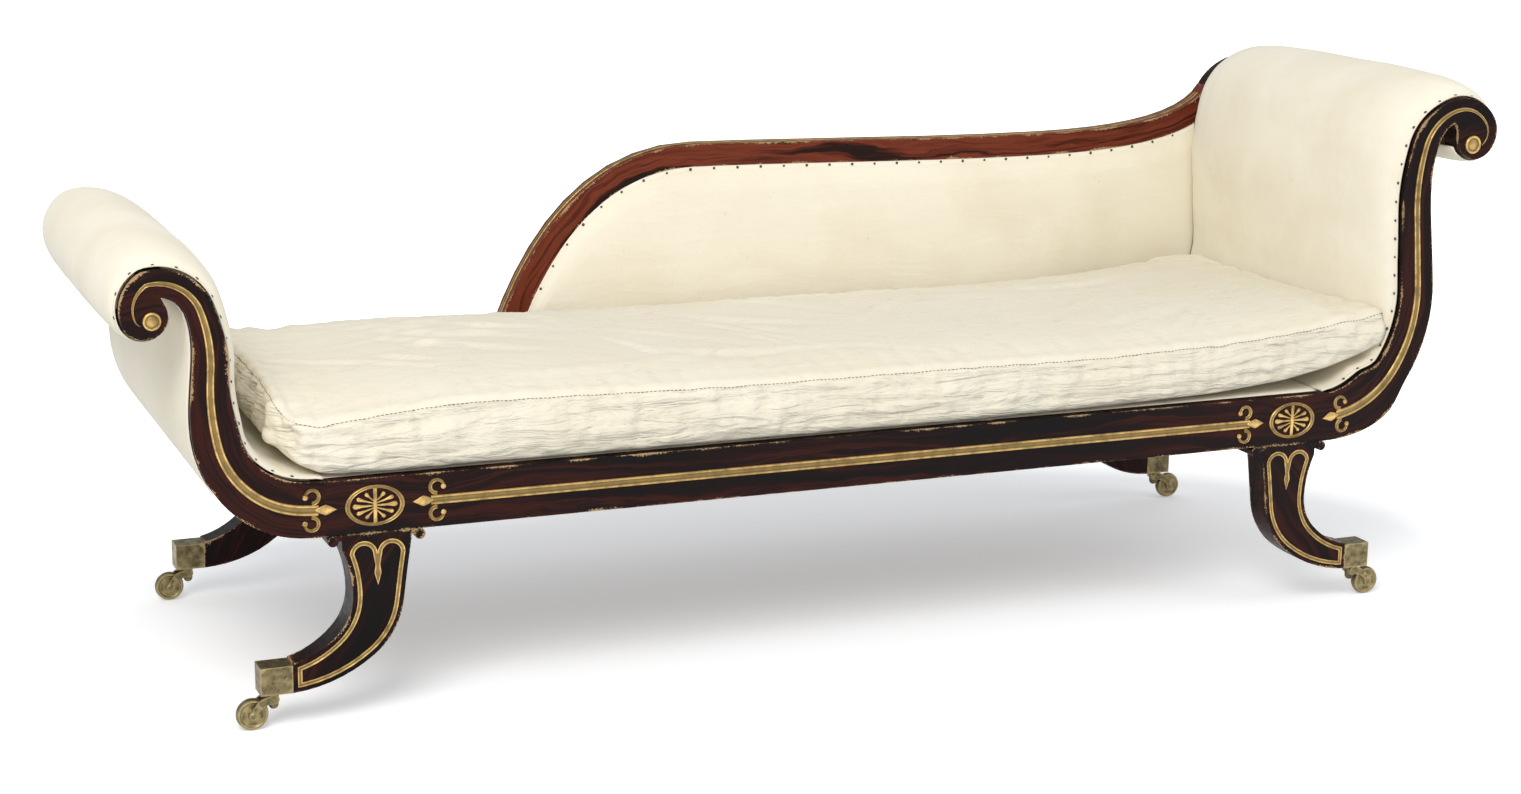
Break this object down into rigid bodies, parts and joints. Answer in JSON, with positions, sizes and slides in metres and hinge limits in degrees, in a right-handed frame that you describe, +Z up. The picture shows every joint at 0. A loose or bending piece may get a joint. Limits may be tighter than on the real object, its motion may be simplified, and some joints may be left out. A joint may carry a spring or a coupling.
{
  "type": "recamier",
  "caption": "Day-bed with a high scrolled head end, a lower scrolled foot end, a part-length back, sabre legs on swivel casters and a loose squab cushion.",
  "frame": {"origin": "middle of the bounding box on the floor under the casters", "axes": "+X towards the high head end, -Y towards the front, which faces the picture, +Z up; millimetre sizes in metres"},
  "size_m": [2.1662, 0.6446, 0.8273],
  "materials": {
    "rosewood": "simulated rosewood paint on beech, polished, worn at the edges",
    "crest_wood": "dark red-brown streaked and polished",
    "frame_wood": "bare beech",
    "gilt": "gilt, rubbed and darkened",
    "old_brass": "aged, olive-brown",
    "calico": "unbleached calico, plain weave",
    "jute": "coarse jute",
    "iron": "dark blued iron"
  },
  "bodies": {
    "frame": {"front_rail": "rosewood", "rear_rail": "rosewood", "seat_cross_rails": "frame_wood", "corner_blocks": "frame_wood", "corner_block_screws": "iron", "foot_scroll_front": "rosewood", "foot_scroll_rear": "rosewood", "foot_cross_rails": "frame_wood", "head_scroll_front": "rosewood", "head_scroll_rear": "rosewood", "head_cross_rails": "frame_wood", "crest_rail": "crest_wood", "back_posts": "frame_wood", "leg_foot_front": "rosewood", "leg_foot_rear": "rosewood", "leg_head_front": "rosewood", "leg_head_rear": "rosewood", "socket_foot_front": "old_brass", "socket_foot_rear": "old_brass", "socket_head_front": "old_brass", "socket_head_rear": "old_brass", "socket_screws": "old_brass", "webbing_long": "jute", "webbing_cross": "jute", "seat_hessian": "jute", "seat_deck": "calico", "foot_webbing": "jute", "head_webbing": "jute", "foot_pad": "calico", "head_pad": "calico", "foot_outside_cover": "calico", "head_outside_cover": "calico", "back_pad": "calico", "back_outside_cover": "calico", "foot_nails": "iron", "head_nails": "iron", "back_nails": "iron", "rail_gilt": "gilt", "foot_scroll_gilt": "gilt", "head_scroll_gilt": "gilt", "leg_gilt": "gilt", "crest_gilt": "gilt", "rosettes": "gilt", "eye_bosses": "gilt"},
    "squab": {"squab_cushion": "calico"},
    "caster_foot_front": {"horn_foot_front": "old_brass", "pin_foot_front": "old_brass"},
    "roller_foot_front": {"wheel_foot_front": "old_brass"},
    "caster_foot_rear": {"horn_foot_rear": "old_brass", "pin_foot_rear": "old_brass"},
    "roller_foot_rear": {"wheel_foot_rear": "old_brass"},
    "caster_head_front": {"horn_head_front": "old_brass", "pin_head_front": "old_brass"},
    "roller_head_front": {"wheel_head_front": "old_brass"},
    "caster_head_rear": {"horn_head_rear": "old_brass", "pin_head_rear": "old_brass"},
    "roller_head_rear": {"wheel_head_rear": "old_brass"}
  },
  "joints": [
    {"name": "swivel_foot_front", "type": "hinge", "parent": "frame", "child": "caster_foot_front", "pos_m": [-0.87794, -0.30075, 0.051], "axis": [0, 0, 1], "continuous": true},
    {"name": "roll_foot_front", "type": "hinge", "parent": "caster_foot_front", "child": "roller_foot_front", "pos_m": [-0.90734, -0.30075, 0.022], "axis": [0, 1, 0], "continuous": true},
    {"name": "swivel_foot_rear", "type": "hinge", "parent": "frame", "child": "caster_foot_rear", "pos_m": [-0.87794, 0.30325, 0.051], "axis": [0, 0, 1], "continuous": true},
    {"name": "roll_foot_rear", "type": "hinge", "parent": "caster_foot_rear", "child": "roller_foot_rear", "pos_m": [-0.90734, 0.30325, 0.022], "axis": [0, 1, 0], "continuous": true},
    {"name": "swivel_head_front", "type": "hinge", "parent": "frame", "child": "caster_head_front", "pos_m": [0.85326, -0.30075, 0.051], "axis": [0, 0, 1], "continuous": true},
    {"name": "roll_head_front", "type": "hinge", "parent": "caster_head_front", "child": "roller_head_front", "pos_m": [0.88266, -0.30075, 0.022], "axis": [0, 1, 0], "continuous": true},
    {"name": "swivel_head_rear", "type": "hinge", "parent": "frame", "child": "caster_head_rear", "pos_m": [0.85326, 0.30325, 0.051], "axis": [0, 0, 1], "continuous": true},
    {"name": "roll_head_rear", "type": "hinge", "parent": "caster_head_rear", "child": "roller_head_rear", "pos_m": [0.88266, 0.30325, 0.022], "axis": [0, 1, 0], "continuous": true},
    {"name": "squab_lift", "type": "slide", "parent": "frame", "child": "squab", "axis": [0, 0, 1], "range_m": [0, 0.4]}
  ]
}
